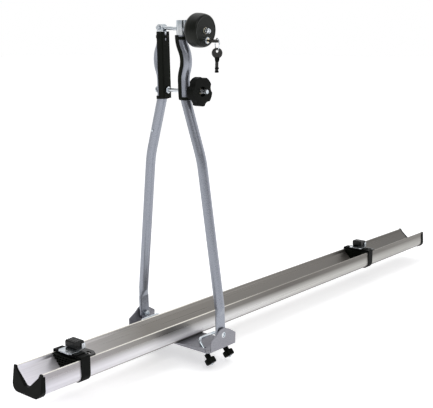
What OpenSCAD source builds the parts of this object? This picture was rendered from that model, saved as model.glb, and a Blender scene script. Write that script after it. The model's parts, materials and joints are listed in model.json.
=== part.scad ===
// Roof mounted bike carrier: a wheel rail on a steel bracket, with a folding A-frame that clamps the bicycle.
// X runs along the rail, Y across it and Z up. The origin is the middle of the bracket's underside, which
// rests on the roof bar. All sizes are in millimetres.

/* [Wheel rail] */
// Length of the wheel rail
rail_l = 1450; // [1300:10:1600]
// Length of rail to the left of the bracket's middle
rail_left = 400; // [380:10:450]
// Outside width of the rail
rail_w = 76; // [72:1:84]
// Outside depth of the rail
rail_h = 44; // [42:0.5:50]
// Radius of the rail's lower corners
rail_r = 14; // [8:1:16]
// Wall of the rail
rail_wall = 2; // [1.6:0.1:2.4]
// Depth of the wheel channel
channel_d = 31; // [28:0.5:31]
// Width of the channel's floor
channel_floor = 12; // [11:1:16]
// Width of the channel between the lips
channel_w = 69; // [66:0.5:69]
// Depth of the steep band at the top of the channel
channel_band = 7; // [6:0.5:10]
// Radius of the rounded bead on each lip
lip_r = 2; // [1.6:0.1:2.4]

/* [End caps] */
// Thickness of an end cap at the lips
cap_t = 3; // [2:0.5:5]
// Thickness of an end cap at its lower edge
cap_nose = 9; // [7:0.5:12]
// How far an end cap stands proud of the rail all round
cap_proud = 2; // [1.5:0.1:3]
// How far an end cap's skirt reaches over the rail
cap_skirt = 4; // [3:0.5:8]

/* [Base bracket] */
// Thickness of the bracket's sheet steel
plate_t = 2.5; // [2:0.1:3]
// Reach of the bracket's floor to the left of its middle
plate_left = 48; // [46:1:54]
// Reach of the bracket's floor to the right of its middle
plate_right = 38; // [36:1:44]
// Width of the bracket across the ears, outside to outside
ear_span = 237; // [230:1:260]
// Width of an ear along the rail
ear_w = 79; // [76:1:84]
// Height of an ear's upright sides
ear_side_h = 20.5; // [18:0.5:24]
// Height of an ear
ear_h = 42; // [40:1:46]
// Width of an ear's flat top
ear_top_w = 17; // [14:1:24]
// Height of the turned-up edge at the ears
edge_h = 9.5; // [9:0.5:14]
// Height of the turned-up edge at the rail
edge_low_h = 4; // [3:0.5:6]
// Distance between the two screws that hold the rail
rail_screw_pitch = 44; // [40:1:48]
// Diameter of the rail screws
rail_screw_d = 6; // [5:0.5:6]

/* [U-bolts] */
// Diameter of the U-bolt rod
ubolt_d = 6; // [5:0.5:7]
// Distance between the legs of a U-bolt
ubolt_pitch = 58; // [54:1:62]
// Distance of each U-bolt from the nearer ear's outer face
ubolt_in = 30.5; // [28:0.5:36]
// Height of a U-bolt's bridge over the bracket, along its legs
ubolt_up = 20.5; // [18:0.5:22]
// Reach of a U-bolt's legs below the bracket, along the legs
ubolt_down = 40; // [36:0.5:48]
// Lean of the near U-bolt
ubolt_near_lean = 40; // [30:1:40]
// Lean of the far U-bolt
ubolt_far_lean = 8; // [0:1:8]
// Diameter of a hand nut's head
nut_head_d = 23; // [20:0.5:24]
// Height of a hand nut's head
nut_head_h = 12; // [10:0.5:13]
// Diameter of a hand nut's stem
nut_stem_d = 11.5; // [10:0.5:13]
// Height of a hand nut's stem
nut_stem_h = 10; // [8:0.5:12]

/* [A-frame] */
// Lean of the standing A-frame towards the rail's left end
frame_lean = 1.8; // [0:0.1:2]
// Place of the pivots along the rail
pivot_x = 0.5; // [0:0.5:3]
// Height of the pivots
pivot_z = 27.5; // [26:0.5:28]
// Diameter of the pivot bolts
pivot_d = 8; // [7:0.5:9]
// Diameter of the press nuts in the ears
press_nut_d = 11.5; // [11:0.5:14]
// Outside diameter of the tubes
tube_d = 20.5; // [19:0.5:22]
// Wall of the tubes
tube_wall = 1.5; // [1.2:0.1:2]
// Thickness of a tube's flattened foot
foot_t = 7; // [6:0.5:9]
// Width of a tube's flattened foot
foot_w = 27; // [24:0.5:28]
// Height of the flattened part above the pivot
foot_up = 40; // [36:1:44]
// Height of the lower bend above the pivots
bend_z = 357; // [345:1:365]
// Half distance between the tubes at the lower bend
bend_y = 70.5; // [68:0.5:74]
// Radius of the lower bend
bend_r = 200; // [150:5:220]
// Height of the jaws' lower end above the pivots
jaw_z = 481; // [474:1:486]
// Half distance between the tubes at the jaws
jaw_y = 31.2; // [30:0.1:34]
// How far the tubes bow out in the jaws
jaw_bow = 11; // [9:0.5:12]
// How far the tubes close in above the bow
jaw_close = 4.4; // [3:0.1:5]
// Height at which the bow starts, above the jaws' lower end
bow_start = 42; // [38:1:44]
// Height of the widest part of the bow, above the jaws' lower end
bow_mid = 76; // [74:1:80]
// Height at which the bow ends, above the jaws' lower end
bow_end = 109; // [107:1:111]
// Height of the far tube's top above the jaws' lower end
far_h = 126; // [124:1:128]
// Height of the near tube's end above the jaws' lower end
near_h = 123; // [121:1:125]
// Radius of the bends in the jaws
jaw_r = 50; // [45:1:55]

/* [Jaw pads] */
// Distance of the far pad's flat face from the middle
pad_face_y = 16; // [14:0.5:20]
// Width of the pads
pad_w = 23; // [22:0.5:26]
// Thickness of the near pad's rubber
pad_t = 3.4; // [2:0.1:4]
// Height of the far pad's top above the jaws' lower end
pad_h = 130; // [128:1:131]
// Height of the pads' collars
collar_h = 6; // [5:0.5:8]
// How far the collars stand proud of the tubes
collar_t = 2; // [1.5:0.1:2.5]

/* [Upper clamp] */
// Height of the swing bolt's pin above the pivots
swing_z = 618.6; // [614:0.2:620]
// Lean of the swing bolt, down towards its knob
swing_tilt = 3.5; // [0:0.5:5]
// Diameter of the swing bolt
swing_d = 7; // [6:0.5:8]
// Diameter of the swing bolt's pin
pin_d = 5; // [4:0.5:5]
// Radius of the clevis ears
clevis_r = 7; // [6.5:0.5:8]
// Height of the slotted sleeve above the swing bolt
sleeve_up = 14; // [14:1:18]
// Diameter of the lock knob
lock_knob_d = 66; // [60:1:72]
// Length of the lock knob
lock_knob_l = 49.5; // [42:0.5:52]
// Length of the lock knob's rim
lock_rim_l = 23; // [18:1:26]
// Length of the lock knob's neck
lock_neck_l = 6; // [4:0.5:8]
// Diameter of the lock knob's neck
lock_neck_d = 16; // [15:0.5:18]
// Distance of the lock below the swing bolt
lock_drop = 18; // [16:0.5:20]
// Diameter of the lock's cylinder
lock_d = 12.5; // [11:0.5:14]
// How far the lock stands out of the knob
lock_out = 6; // [6:0.5:10]
// Diameter of the lock's plug
plug_d = 8.5; // [8:0.5:9]

/* [Keys] */
// Diameter of a key's head
key_head_d = 20; // [18:0.5:22]
// Thickness of a key's head
key_head_t = 5; // [5:0.5:6]
// Length of a key's neck
key_neck_l = 6; // [5:0.5:10]
// Length of a key's blade
key_blade_l = 27; // [24:0.5:28]
// Width of a key's blade
key_blade_w = 6; // [5:0.5:6.5]
// Diameter of the key ring, to the middle of its wire
ring_d = 22; // [20:0.5:24]
// Diameter of the ring's wire
ring_wire = 1.8; // [1.5:0.1:2]

/* [Lower clamp] */
// Height of the clamp bolt above the jaws' lower end
clamp_up = 14; // [12:0.5:18]
// Diameter of the clamp bolt
clamp_d = 8; // [7:0.5:8]
// Diameter over the hand knob's lobes
knob_d = 58; // [50:1:60]
// Thickness of the hand knob's lobed head
knob_h = 15; // [12:0.5:18]
// Number of lobes on the hand knob
knob_lobes = 5; // [5:1:6]
// Diameter of the hand knob's neck
knob_neck_d = 20; // [18:0.5:24]
// Length of the hand knob's neck
knob_neck_l = 18.5; // [14:0.5:24]
// Length of bolt that shows past the hand knob
clamp_out = 12; // [8:0.5:16]

/* [Wheel straps] */
// Distance of the left strap from the bracket's middle
strap_left_x = 302; // [280:1:320]
// Distance of the right strap from the bracket's middle
strap_right_x = 735; // [700:1:760]
// Width of the strap
strap_w = 21; // [18:1:24]
// Thickness of the strap
strap_t = 2; // [1.5:0.1:2.2]
// Length of the buckle's base along the rail
buckle_l = 46; // [44:1:52]
// Thickness of the buckle's base
buckle_t = 2.6; // [2.2:0.1:3]
// Length of the buckle's steel plate
steel_l = 45; // [44:1:50]
// Width of the buckle's steel plate
steel_w = 38; // [36:1:42]
// Thickness of the buckle's steel plate
steel_t = 2; // [1.5:0.1:2.5]
// Left end of the steel plate, from the strap's middle
steel_x = -19; // [-21:1:-17]
// Length of the lever
lever_l = 24; // [22:0.5:25]
// Width of the lever
lever_w = 27; // [24:0.5:28]
// Height of the lever
lever_h = 14; // [12:0.5:16]
// Left end of the lever, from the strap's middle
lever_x = 1; // [-2:0.5:2]
// Near side of the lever, from the rail's middle
lever_y = -8.5; // [-10:0.5:-6]
// Length of the wheel cradle along the rail
cradle_l = 36; // [32:1:40]

/* [Hidden] */
$fn = 64;

// Small gap between pieces that sit against each other
seat = 0.3;
// Radial clearance of a running fit
run = 0.08;
// Depth by which a cut runs past a face
over = 1;
// Length of the band that closes a seam in a swept form, and how far it stands proud
seam = 1;
hair = 0.05;

aluminium = [0.74, 0.74, 0.76];
zinc = [0.80, 0.82, 0.84];
paint = [0.60, 0.60, 0.64];
black = [0.10, 0.10, 0.10];
rubber = [0.13, 0.14, 0.12];
brass = [0.75, 0.62, 0.32];

// Heights of the rail above the bracket's underside
rail_z = plate_t;
lip_z = rail_z + rail_h;
floor_z = lip_z - channel_d;
rail_x0 = -rail_left;
rail_x1 = rail_l - rail_left;
lip_y = rail_w / 2 - lip_r + 0.1;

// Rounded U outline across the rail, grown outwards by g, up to height top
module u_outline(g, top) {
    half = rail_w / 2 + g;
    r = rail_r + g;
    low = rail_z - g;
    translate([-half, low + r]) square([2 * half, top - low - r]);
    translate([-half + r, low]) square([2 * (half - r), r + over]);
    for (s = [-1, 1]) translate([s * (half - r), low + r]) circle(r);
}

// Outline of the open wheel channel, drawn in by w on every side
module channel_outline(w, top) {
    half = channel_w / 2 - w;
    knee = half - 3.5;
    base = channel_floor / 2 - w / 2;
    polygon([[-base, floor_z + w], [base, floor_z + w], [knee, lip_z - channel_band], [half, lip_z],
        [half, top], [-half, top], [-half, lip_z], [-knee, lip_z - channel_band]]);
}

// Lays an outline drawn across the rail along X, from x0 to x1
module along_rail(x0, x1) {
    translate([x0, 0, 0]) rotate([90, 0, 90]) linear_extrude(x1 - x0) children();
}

// Section of the extruded rail: a rounded shell, the V-shaped channel in it, beaded lips and a track
// under the channel that holds the nuts
module rail_section() {
    difference() {
        union() {
            difference() {
                u_outline(0, lip_z - lip_r);
                u_outline(-rail_wall, lip_z);
            }
            intersection() {
                u_outline(0, lip_z - lip_r);
                channel_outline(-rail_wall, lip_z + over);
            }
            for (s = [-1, 1]) {
                translate([s * lip_y, lip_z - lip_r]) circle(lip_r);
                translate([s * (nut_track / 2 + track_wall / 2) - track_wall / 2, rail_z + rail_wall / 2])
                    square([track_wall, floor_z - rail_z - rail_wall]);
            }
        }
        channel_outline(0, lip_z + 3 * over);
    }
}

module wheel_rail() {
    color(aluminium) difference() {
        along_rail(rail_x0, rail_x1) rail_section();
        for (x = rail_screw_x) translate([x, 0, rail_z - over]) cylinder(h = rail_wall + 2 * over,
            d = rail_screw_d + 2 * run);
    }
}

screw_nut_h = 5;
screw_nut_d = 1.9 * rail_screw_d;
nut_track = screw_nut_d + 0.6;
track_wall = 1.6;
rail_screw_x = [-rail_screw_pitch / 2, rail_screw_pitch / 2];

// One moulded end cap, for the left end; the right one is its mirror image
module end_cap() {
    difference() {
        union() {
            along_rail(-cap_nose, 0) u_outline(cap_proud, lip_z + 0.5);
            along_rail(-over, cap_skirt) difference() {
                u_outline(cap_proud, lip_z - 2 * lip_r - 1);
                u_outline(0.1, lip_z + over);
            }
        }
        along_rail(-cap_nose - over, cap_skirt + over) channel_outline(0.6, lip_z + 2 * over);
        translate([-cap_t, 0, lip_z + 0.5]) rotate([0, atan((cap_nose - cap_t) / rail_h), 0])
            translate([-rail_h, -rail_w, -2 * rail_h]) cube([rail_h, 2 * rail_w, 3 * rail_h]);
    }
}

module end_cap_left() color(black) translate([rail_x0, 0, 0]) end_cap();
module end_cap_right() color(black) translate([rail_x1, 0, 0]) mirror([1, 0, 0]) end_cap();

// Outline of an ear in the plane of the rail's length, above the bracket's floor
module ear_outline() {
    half = ear_w / 2;
    top = ear_top_w / 2;
    polygon([[-half, 0], [half - 1, 0], [half, ear_side_h + 1.5], [half - 1.2, ear_side_h + 3.8],
        [2 * top + 2, ear_h - 6], [2 * top - 4, ear_h - 4], [top - 3, ear_h - 0.6], [0, ear_h],
        [-top - 0.5, ear_h - 1], [-top - 4, ear_h - 3.4], [-half + 18.5, ear_side_h + 11],
        [-half + 1.5, ear_side_h + 1.6], [-half, ear_side_h - 1]]);
}

// Turned-up left edge, rising from the rail towards the ears
module edge_outline() {
    y0 = rail_w / 2 - rail_r;
    y1 = ear_span / 2 - plate_t - 8;
    polygon([[y0, 0], [y1 + 8, 0], [y1 + 8, edge_h - 5], [y1, edge_h], [y0 + 10, edge_low_h],
        [y0 + 2, plate_t], [y0, plate_t]]);
}

ubolt_slot = ubolt_d + 9;
ubolt_y = ear_span / 2 - ubolt_in;

module base_bracket() {
    corner = 8;
    color(paint) difference() {
        union() {
            translate([-plate_left + corner, -ear_span / 2, 0])
                cube([plate_left + plate_right - corner, ear_span, plate_t]);
            translate([-plate_left, -ear_span / 2 + corner, 0])
                cube([corner + over, ear_span - 2 * corner, plate_t]);
            for (s = [-1, 1]) translate([-plate_left + corner, s * (ear_span / 2 - corner), 0])
                cylinder(h = plate_t, r = corner);
            for (s = [-1, 1]) translate([0, s * ear_span / 2 + (s > 0 ? 0 : plate_t), 0])
                rotate([90, 0, 0]) linear_extrude(plate_t) ear_outline();
            for (s = [0, 1]) mirror([0, s, 0]) translate([-plate_left, 0, 0]) rotate([90, 0, 90])
                linear_extrude(plate_t) intersection() {
                    edge_outline();
                    square([ear_span / 2 - corner, edge_h + 1]);
                }
        }
        for (s = [-1, 1]) translate([pivot_x, s * ear_span / 2, pivot_z]) rotate([90, 0, 0])
            cylinder(h = 4 * plate_t, d = press_nut_d + 0.04, center = true);
        for (x = [-1, 1], y = [-1, 1]) translate([x * ubolt_pitch / 2, y * ubolt_y, -over]) {
            for (s = [-1, 1]) translate([0, s * (ubolt_slot - ubolt_d) / 2, 0])
                cylinder(h = plate_t + 2 * over, d = ubolt_d + 1);
            translate([-ubolt_d / 2 - 0.5, -(ubolt_slot - ubolt_d) / 2, 0])
                cube([ubolt_d + 1, ubolt_slot - ubolt_d, plate_t + 2 * over]);
        }
        for (x = rail_screw_x) translate([x, 0, 0]) screw_seat();
    }
}

// Countersunk hole for a rail screw
module screw_seat() {
    translate([0, 0, -over]) cylinder(h = plate_t + 2 * over, d = rail_screw_d + 2 * run);
    translate([0, 0, -0.01]) cylinder(h = plate_t - 0.4, d1 = 2 * rail_screw_d, d2 = rail_screw_d + 2 * run);
}

module rail_screws() {
    color(zinc) for (x = rail_screw_x) translate([x, 0, 0.1]) difference() {
        union() {
            cylinder(h = plate_t - 0.6, d1 = 2 * rail_screw_d - 0.6, d2 = rail_screw_d);
            cylinder(h = rail_z + rail_wall + screw_nut_h + 1, d = rail_screw_d);
        }
        translate([0, 0, -over]) cylinder(h = over + 1.6, d = rail_screw_d * 0.6, $fn = 6);
    }
}

module rail_nuts() {
    color(zinc) for (x = rail_screw_x) translate([x, 0, rail_z + rail_wall]) difference() {
        cylinder(h = screw_nut_h, d = screw_nut_d, $fn = 6);
        translate([0, 0, -over]) cylinder(h = screw_nut_h + 2 * over, d = rail_screw_d + 2 * run);
    }
}

// Puts what is drawn upright at a U-bolt's slots into its leaning place
module at_ubolt(side, lean) {
    translate([0, side * ubolt_y, plate_t / 2]) rotate([-lean, 0, 0]) children();
}

module ubolt(side, lean) {
    half = ubolt_pitch / 2;
    r = 10;
    at_ubolt(side, lean) {
        for (s = [-1, 1]) translate([s * half, 0, -ubolt_down]) cylinder(h = ubolt_down + ubolt_up - r, d = ubolt_d);
        translate([-half + r, 0, ubolt_up]) rotate([0, 90, 0]) cylinder(h = 2 * (half - r), d = ubolt_d);
        for (s = [0, 1]) mirror([s, 0, 0]) translate([half - r, 0, ubolt_up - r]) rotate([90, 0, 0])
            rotate_extrude(angle = 90) translate([r, 0]) circle(d = ubolt_d);
    }
}

module ubolt_near() color(zinc) ubolt(-1, ubolt_near_lean);
module ubolt_far() color(zinc) ubolt(1, ubolt_far_lean);

// Fluted hand nut on a U-bolt's leg, with its stem upwards
module hand_nut(side, lean, sx) {
    tip = 3;
    flutes = 6;
    flute_r = 3.8;
    chamfer = 1.5;
    r = nut_head_d / 2;
    stem_r = nut_stem_d / 2;
    hole_r = ubolt_d / 2 + run;
    top = nut_head_h + nut_stem_h;
    at_ubolt(side, lean) translate([sx * ubolt_pitch / 2, 0, tip - ubolt_down]) difference() {
        rotate_extrude() polygon([[hole_r, 0], [r - chamfer, 0], [r, chamfer], [r, nut_head_h - chamfer],
            [r - chamfer, nut_head_h], [stem_r, nut_head_h], [stem_r, top], [hole_r, top]]);
        for (i = [0 : flutes - 1]) rotate((i + 0.5) * 360 / flutes) translate([r + 0.42 * flute_r, 0, -over])
            cylinder(h = nut_head_h + over + 0.5, r = flute_r);
    }
}

module hand_nut_near_left() color(black) hand_nut(-1, ubolt_near_lean, -1);
module hand_nut_near_right() color(black) hand_nut(-1, ubolt_near_lean, 1);
module hand_nut_far_left() color(black) hand_nut(1, ubolt_far_lean, -1);
module hand_nut_far_right() color(black) hand_nut(1, ubolt_far_lean, 1);

// Places of the foot between the ear and the pivot nut
ear_in = ear_span / 2 - plate_t;
foot_gap = 2.8;
foot_y = ear_in - foot_gap - foot_t / 2;
foot_in = foot_y - foot_t / 2;
nut_gap = 0.6;
pivot_head_h = 5.5;

// The A-frame's own frame: its origin lies on the pivots' axis, and Z runs up the frame
module in_frame() {
    translate([pivot_x, 0, pivot_z]) rotate([0, -frame_lean, 0]) children();
}

module both_pivots() {
    for (s = [0, 1]) mirror([0, s, 0]) translate([pivot_x, 0, pivot_z]) children();
}

// A cylinder along Y, from y0 to y1
module rod_y(y0, y1, d) {
    translate([0, y0, 0]) rotate([-90, 0, 0]) cylinder(h = y1 - y0, d = d);
}

// Hex bolts from inside, whose ends stay just short of the ears' outer faces
module pivot_bolts() {
    head_y = foot_in - nut_gap - pivot_head_h;
    color(zinc) both_pivots() {
        translate([0, head_y, 0]) rotate([-90, 30, 0]) cylinder(h = pivot_head_h, d = pivot_d * 1.8, $fn = 6);
        rod_y(head_y + 1, ear_span / 2 - 1.4, pivot_d);
    }
}

// Press nuts in the ears, flush with their faces
module pivot_press_nuts() {
    color(zinc) both_pivots() difference() {
        rod_y(ear_in, ear_span / 2, press_nut_d);
        rod_y(ear_in - over, ear_span / 2 + over, pivot_d + 2 * run);
    }
}

module pivot_washers() {
    t = 1.6;
    y = ear_in - (foot_gap + t) / 2;
    color(zinc) both_pivots() difference() {
        rod_y(y, y + t, pivot_d + 4);
        rod_y(y - over, y + t + over, pivot_d + 2 * run);
    }
}

// Centre line of a tube above its foot: [half distance, height] and the bend radius at each point
tube_y0 = foot_y - 0.3;
tube_z0 = foot_up + 16;
jaw_pts = [[jaw_y, jaw_z, jaw_r], [jaw_y - 0.5, jaw_z + bow_start, jaw_r],
    [jaw_y + jaw_bow, jaw_z + bow_mid, jaw_r], [jaw_y - jaw_close, jaw_z + bow_end, jaw_r]];

function tube_pts(top) = concat([[tube_y0, tube_z0, 0], [bend_y, bend_z, bend_r]], jaw_pts,
    [[jaw_y - jaw_close, top, 0]]);

function heading(a, b) = atan2(b[1] - a[1], b[0] - a[0]);
// Angle through which the path turns at point i, positive to the left
function turn(p, i) = heading(p[i], p[i + 1]) - heading(p[i - 1], p[i]);
// Length of straight that the bend at point i takes up on each side
function setback(p, i) = p[i][2] == 0 ? 0 : p[i][2] * tan(abs(turn(p, i)) / 2);
function dist(a, b) = norm([b[0] - a[0], b[1] - a[1]]);

// Sweeps a section along a path of straights and arcs in the Y-Z plane. The section's X is the path's
// outward side and its Y is the part's X axis. The second child is the same section grown by a hair,
// which closes the seams between straights and arcs.
module sweep(p) {
    n = len(p);
    for (i = [0 : n - 2]) {
        a = i == 0 ? 0 : setback(p, i);
        b = i == n - 2 ? 0 : setback(p, i + 1);
        l = dist(p[i], p[i + 1]) - a - b;
        translate([0, p[i][0], p[i][1]]) rotate([heading(p[i], p[i + 1]) - 90, 0, 0]) translate([0, 0, a])
            rotate([0, 0, 90]) mirror([0, 1, 0]) {
                linear_extrude(l) children(0);
                if (i > 0) translate([0, 0, -seam / 2]) linear_extrude(seam) children(1);
                if (i < n - 2) translate([0, 0, l - seam / 2]) linear_extrude(seam) children(1);
            }
    }
    for (i = [1 : n - 2]) {
        t = turn(p, i);
        r = p[i][2];
        d = setback(p, i);
        h = heading(p[i - 1], p[i]);
        translate([0, p[i][0] - d * cos(h), p[i][1] - d * sin(h)]) rotate([h - 90, 0, 0])
            if (t > 0) translate([0, -r, 0]) rotate([90, 0, 90]) rotate_extrude(angle = t)
                translate([r, 0]) children(0);
            else translate([0, r, 0]) mirror([0, 1, 0]) rotate([90, 0, 90]) rotate_extrude(angle = -t)
                translate([r, 0]) mirror([1, 0]) children(0);
    }
}

// Ring-shaped section
module ring(d_out, d_in) {
    difference() {
        circle(d = d_out);
        circle(d = d_in);
    }
}

// Part of a path between two of its points
function part_path(p, a, b) = [for (i = [a : b]) p[i]];

far_top = jaw_z + far_h;
near_top = jaw_z + near_h;
bore = tube_d - 2 * tube_wall;
clamp_z = jaw_z + clamp_up;
clamp_y = jaw_y;

// Flattened foot with its pivot hole, the taper into the round tube, and the swept tube
module tube(top, hole_d) {
    p = tube_pts(top);
    difference() {
        union() {
            sweep(p) {
                ring(tube_d, bore);
                ring(tube_d + 2 * hair, bore - 2 * hair);
            }
            hull() {
                translate([0, foot_y, foot_up - 1]) linear_extrude(0.5) foot_outline(0.6, $fn = 24);
                translate([0, tube_y0, tube_z0]) rotate([heading(p[0], p[1]) - 90, 0, 0])
                    cylinder(h = 1, d = tube_d - 0.6, $fn = 32);
            }
            intersection() {
                translate([0, foot_y, -foot_w / 2]) linear_extrude(foot_up + foot_w / 2) foot_outline(0);
                union() {
                    rod_y(foot_y - foot_t, foot_y + foot_t, foot_w);
                    translate([-foot_w, foot_y - foot_t, 0]) cube([2 * foot_w, 2 * foot_t, foot_up + 1]);
                }
            }
        }
        rod_y(foot_y - foot_t, foot_y + foot_t, hole_d);
    }
}

// Section of the flattened foot, made smaller all round by less
module foot_outline(less) {
    half = (foot_w - foot_t) / 2;
    square([2 * half, foot_t - 2 * less], center = true);
    for (s = [-1, 1]) translate([s * half, 0]) circle(d = foot_t - 2 * less);
}

module far_tube() {
    color(paint) difference() {
        in_frame() tube(far_top, pivot_d + 2 * run);
        in_frame() translate([0, 0, clamp_z]) rod_y(0, 2 * jaw_y, clamp_d + 2 * run);
        at_rivet() translate([0, 0, -tube_wall - 2]) cylinder(h = tube_wall + 4, d = rivet_d + 2 * run);
    }
}

// Upright slot that lets the near tube tip outwards over the clamp bolt
module clamp_slot(y0, y1) {
    d = clamp_d + 1;
    translate([0, y1, clamp_z - 5]) rotate([90, 0, 0]) linear_extrude(y1 - y0) {
        circle(d = d);
        translate([0, 6]) circle(d = d);
        translate([-d / 2, 0]) square([d, 6]);
    }
}

module near_tube() {
    color(paint) in_frame() mirror([0, 1, 0]) difference() {
        tube(near_top, pivot_d + 1);
        clamp_slot(0, 2 * jaw_y);
    }
}

pad_z0 = jaw_z - 3;
pad_z1 = jaw_z + pad_h;
pad_bore = tube_d + 0.3;

// Inner half of a rubber sleeve, seen along the tube
module half_sleeve(grow) {
    difference() {
        circle(d = tube_d + 2 * pad_t + 2 * grow);
        circle(d = pad_bore - 2 * grow);
        translate([grow, -tube_d]) square([2 * tube_d, 2 * tube_d]);
    }
}

// Room that the tube takes in a pad or a collar
module tube_room(p, n) {
    sweep(part_path(p, 1, n - 1)) {
        circle(d = pad_bore);
        circle(d = pad_bore + 2 * hair);
    }
}

// Collar round a tube, at half distance y from the middle
module collar(y, z) {
    translate([0, y, z]) difference() {
        cylinder(h = collar_h, d = tube_d + 2 * collar_t);
        translate([0, 0, -over]) cylinder(h = collar_h + 2 * over, d = tube_d + 0.6);
    }
}

module near_pad() {
    p = tube_pts(near_top);
    n = len(p);
    color(rubber) in_frame() mirror([0, 1, 0]) difference() {
        union() {
            intersection() {
                sweep(part_path(p, 1, n - 1)) {
                    half_sleeve(0);
                    half_sleeve(hair);
                }
                translate([-pad_w / 2, 0, pad_z0]) cube([pad_w, 2 * jaw_y, near_top - pad_z0]);
            }
            difference() {
                union() {
                    collar(jaw_y + 0.4, pad_z0 - 1);
                    collar(jaw_y - jaw_close, near_top - collar_h - 3);
                }
                tube_room(p, n);
            }
        }
        clamp_slot(0, 2 * jaw_y);
    }
}

module far_pad() {
    p = tube_pts(far_top);
    n = len(p);
    side = 3;
    color(rubber) in_frame() difference() {
        union() {
            translate([-pad_w / 2, pad_face_y + side, pad_z0]) cube([pad_w, jaw_y - pad_face_y - side, pad_z1 - pad_z0]);
            translate([-pad_w / 2 + side, pad_face_y, pad_z0]) cube([pad_w - 2 * side, side + over, pad_z1 - pad_z0]);
            for (s = [-1, 1]) translate([s * (pad_w / 2 - side), pad_face_y + side, pad_z0])
                cylinder(h = pad_z1 - pad_z0, r = side);
            collar(jaw_y + 0.4, pad_z0 - 1);
            collar(jaw_y - jaw_close, near_top - collar_h);
        }
        tube_room(p, n);
        translate([0, clevis_y, far_top - over]) cylinder(h = 2 * tube_d, d = pad_bore);
        translate([0, 0, clamp_z]) rod_y(0, 2 * jaw_y, clamp_d + 0.4);
        translate([0, 0, clamp_z]) rod_y(0, jaw_y - tube_d / 2 + 1, clamp_d * 2.1);
        translate([0, pad_face_y - over, pad_z1 + 4]) rotate([-90, 0, 0])
            linear_extrude(jaw_y) polygon([[-4, 0], [4, 0], [2, 22], [-2, 22]]);
    }
}

clevis_y = jaw_y - jaw_close;
// Width of the swing bolt's eye
eye_w = 9;
// Depth by which the tubes' end pieces sit in the tubes
plug_in = 3.5;

// Slotted end of the far tube, whose two ears hold the swing bolt's pin
module top_clevis() {
    ear_t = 3.2;
    slot = eye_w + 1.2;
    rim = far_top + 3.5;
    color(zinc) in_frame() translate([0, clevis_y, 0]) difference() {
        union() {
            translate([0, 0, far_top - plug_in]) cylinder(h = plug_in + 1, d = bore - 0.2);
            translate([0, 0, far_top + 0.05]) cylinder(h = rim - far_top - 0.05, d = tube_d);
            intersection() {
                translate([0, 0, far_top]) cylinder(h = swing_z - far_top, d = tube_d);
                for (s = [-1, 1]) translate([s * (slot + ear_t) / 2 - ear_t / 2, -clevis_r, far_top])
                    cube([ear_t, 2 * clevis_r, swing_z - far_top]);
            }
            for (s = [-1, 1]) translate([s * (slot + ear_t) / 2 - ear_t / 2, 0, swing_z])
                rotate([0, 90, 0]) cylinder(h = ear_t, r = clevis_r);
        }
        translate([-slot / 2, -tube_d, swing_z - clevis_r - 0.8]) cube([slot, 2 * tube_d, tube_d]);
        translate([-tube_d, 0, swing_z]) rotate([0, 90, 0]) cylinder(h = 2 * tube_d, d = pin_d + 2 * run);
    }
}

module clevis_pin() {
    l = 22;
    color(zinc) in_frame() translate([-l / 2, clevis_y, swing_z]) rotate([0, 90, 0]) {
        cylinder(h = l, d = pin_d);
        for (z = [-2, l]) translate([0, 0, z]) cylinder(h = 2, d = pin_d + 3);
    }
}

// Distances along the swing bolt, from the near tube's middle outwards
lock_play = 1.8;
washer_t = 1.2;
lock_t0 = tube_d / 2 + lock_play + washer_t + seat;
lock_t1 = lock_t0 + lock_knob_l;
swing_reach = 2 * clevis_y + lock_t1 + 4;

// Puts what is drawn about the swing bolt's pin, with the bolt along -Y, into its leaning place
module at_pin() {
    in_frame() translate([0, clevis_y, swing_z]) rotate([swing_tilt, 0, 0]) children();
}

module swing_bolt() {
    color(zinc) at_pin() difference() {
        union() {
            translate([-eye_w / 2, 0, 0]) rotate([0, 90, 0]) cylinder(h = eye_w, r = clevis_r);
            rod_y(-swing_reach, -1, swing_d);
        }
        translate([-eye_w, 0, 0]) rotate([0, 90, 0]) cylinder(h = 2 * eye_w, d = pin_d + 2 * run);
    }
}

// Slotted end of the near tube, in which the swing bolt lies
module slot_sleeve() {
    slot = swing_d + 1.2;
    low = swing_z - 11;
    color(zinc) in_frame() translate([0, -clevis_y, 0]) difference() {
        union() {
            translate([0, 0, near_top - plug_in]) cylinder(h = plug_in + 1, d = bore - 0.2);
            translate([0, 0, near_top + 0.05]) cylinder(h = swing_z + sleeve_up - near_top - 0.05, d = tube_d);
        }
        translate([0, 0, near_top + 3]) cylinder(h = 80, d = bore - 2 * tube_wall);
        translate([-slot / 2, -tube_d, low]) cube([slot, 2 * tube_d, 60]);
        translate([0, 0, low]) rod_y(-tube_d, tube_d, slot);
    }
}

// Puts what is drawn about Z, with its base at the near tube's middle, along a clamp's bolt
module outwards(y, z) {
    in_frame() translate([0, -y, z]) rotate([90, 0, 0]) children();
}

// The same for the swing bolt, whose lean it takes
module on_swing_bolt() {
    at_pin() translate([0, -2 * clevis_y, 0]) rotate([90, 0, 0]) children();
}

module washer(t0, t, d, hole) {
    translate([0, 0, t0]) difference() {
        cylinder(h = t, d = d);
        translate([0, 0, -over]) cylinder(h = t + 2 * over, d = hole);
    }
}

module lock_washer() {
    color(zinc) on_swing_bolt() washer(tube_d / 2 + lock_play, washer_t, lock_neck_d, swing_d + 2 * run);
}

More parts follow.
